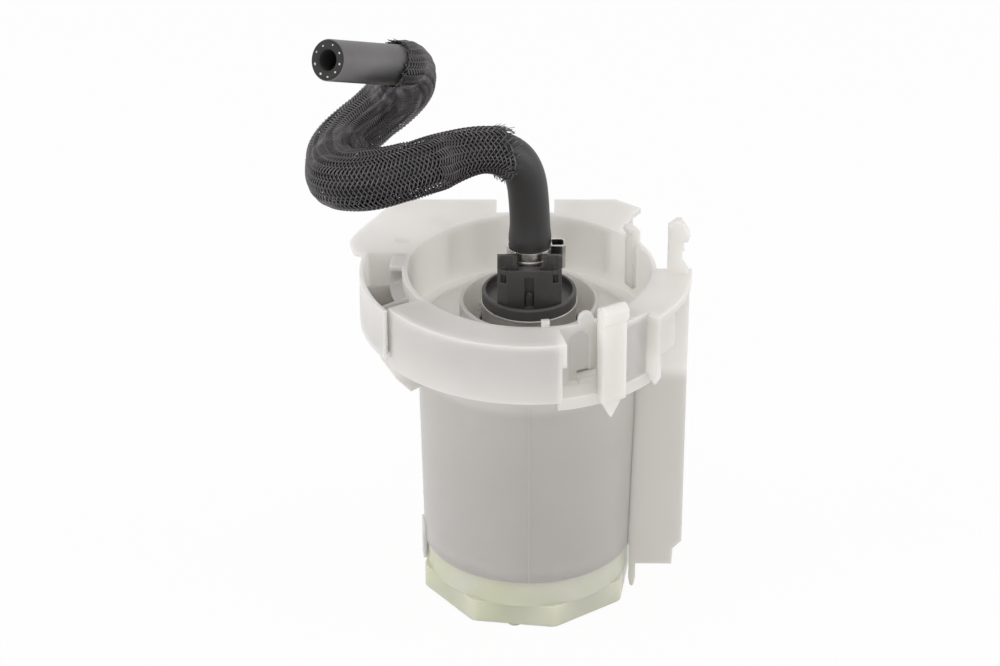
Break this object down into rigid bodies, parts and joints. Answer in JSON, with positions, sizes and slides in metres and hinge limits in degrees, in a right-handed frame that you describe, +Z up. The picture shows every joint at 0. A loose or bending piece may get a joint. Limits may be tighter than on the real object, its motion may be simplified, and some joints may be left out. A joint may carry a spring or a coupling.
{
  "type": "in-tank fuel pump",
  "caption": "In-tank fuel pump module: milky swirl pot on a strainer foot, holding an electric turbine pump whose black cover feeds a formed hose in a braided sleeve.",
  "frame": {"origin": "middle of the face that the module stands on, on the axis of the pot", "axes": "+Z up along the pot and rotor axis, -Y towards the camera side with the connector, +X towards the side plate and hooked post"},
  "size_m": [0.1533, 0.127, 0.2579],
  "materials": {
    "pot_plastic": "moulded milky plastic",
    "foot_plastic": "moulded pale yellow-green plastic",
    "filter_mesh": "fine woven mesh",
    "valve_rubber": "soft moulded rubber",
    "holder_plastic": "moulded plastic",
    "isolator_rubber": "soft moulded rubber",
    "casing_steel": "plated drawn tube",
    "cast_aluminium": "machined casting",
    "screen_plastic": "moulded plastic",
    "impeller_resin": "moulded resin",
    "bearing_bronze": "sintered bronze",
    "shaft_steel": "ground steel",
    "core_steel": "stacked laminations",
    "winding_copper": "enamelled copper wire",
    "commutator_carbon": "segments on a resin hub",
    "magnet_ferrite": "sintered ferrite",
    "spring_steel": "spring steel",
    "cover_plastic": "black glass-filled plastic",
    "brush_carbon": "pressed carbon",
    "terminal_metal": "tinned brass",
    "clamp_steel": "polished stainless strip",
    "hose_rubber": "smooth black rubber",
    "sleeve_braid": "braided yarn"
  },
  "bodies": {
    "module": {"swirl_pot": "pot_plastic", "strainer_foot": "foot_plastic", "strainer_mesh": "filter_mesh", "pump_holder": "holder_plastic", "lower_isolator": "isolator_rubber", "upper_isolator": "isolator_rubber", "pump_casing": "casing_steel", "casing_seal": "valve_rubber", "inlet_cover": "cast_aluminium", "inlet_screen": "screen_plastic", "pump_body": "cast_aluminium", "lower_bearing": "bearing_bronze", "upper_bearing": "bearing_bronze", "field_magnet_left": "magnet_ferrite", "field_magnet_right": "magnet_ferrite", "magnet_clips": "spring_steel", "end_cover": "cover_plastic", "brush_spring_left": "spring_steel", "brush_spring_right": "spring_steel", "terminal_left": "terminal_metal", "terminal_right": "terminal_metal", "outlet_pipe": "cover_plastic", "check_valve_spring": "spring_steel", "hose_clamp": "clamp_steel", "outlet_hose": "hose_rubber", "hose_sleeve": "sleeve_braid"},
    "rotor": {"rotor_shaft": "shaft_steel", "impeller": "impeller_resin", "armature_core": "core_steel", "armature_windings": "winding_copper", "commutator": "commutator_carbon"},
    "valve_umbrella": {"foot_valve": "valve_rubber"},
    "check_poppet": {"check_valve_poppet": "valve_rubber"},
    "brush_l": {"brush_left": "brush_carbon"},
    "brush_r": {"brush_right": "brush_carbon"}
  },
  "joints": [
    {"name": "rotor_spin", "type": "hinge", "parent": "module", "child": "rotor", "pos_m": [0, 0, 0.08], "axis": [0, 0, 1], "continuous": true},
    {"name": "foot_valve_lift", "type": "slide", "parent": "module", "child": "valve_umbrella", "axis": [0, 0, 1], "range_m": [0, 0.0018]},
    {"name": "check_valve_lift", "type": "slide", "parent": "module", "child": "check_poppet", "axis": [0, 0, 1], "range_m": [0, 0.0015], "stiffness_N_per_m": 100, "springref_m": -0.002, "deforming": ["check_valve_spring"]},
    {"name": "brush_left_slide", "type": "slide", "parent": "module", "child": "brush_l", "axis": [0, 0, 1], "range_m": [0, 0.0015], "stiffness_N_per_m": 120, "springref_m": -0.002, "deforming": ["brush_spring_left"]},
    {"name": "brush_right_slide", "type": "slide", "parent": "module", "child": "brush_r", "axis": [0, 0, 1], "range_m": [0, 0.0015], "stiffness_N_per_m": 120, "springref_m": -0.002, "deforming": ["brush_spring_right"]}
  ]
}
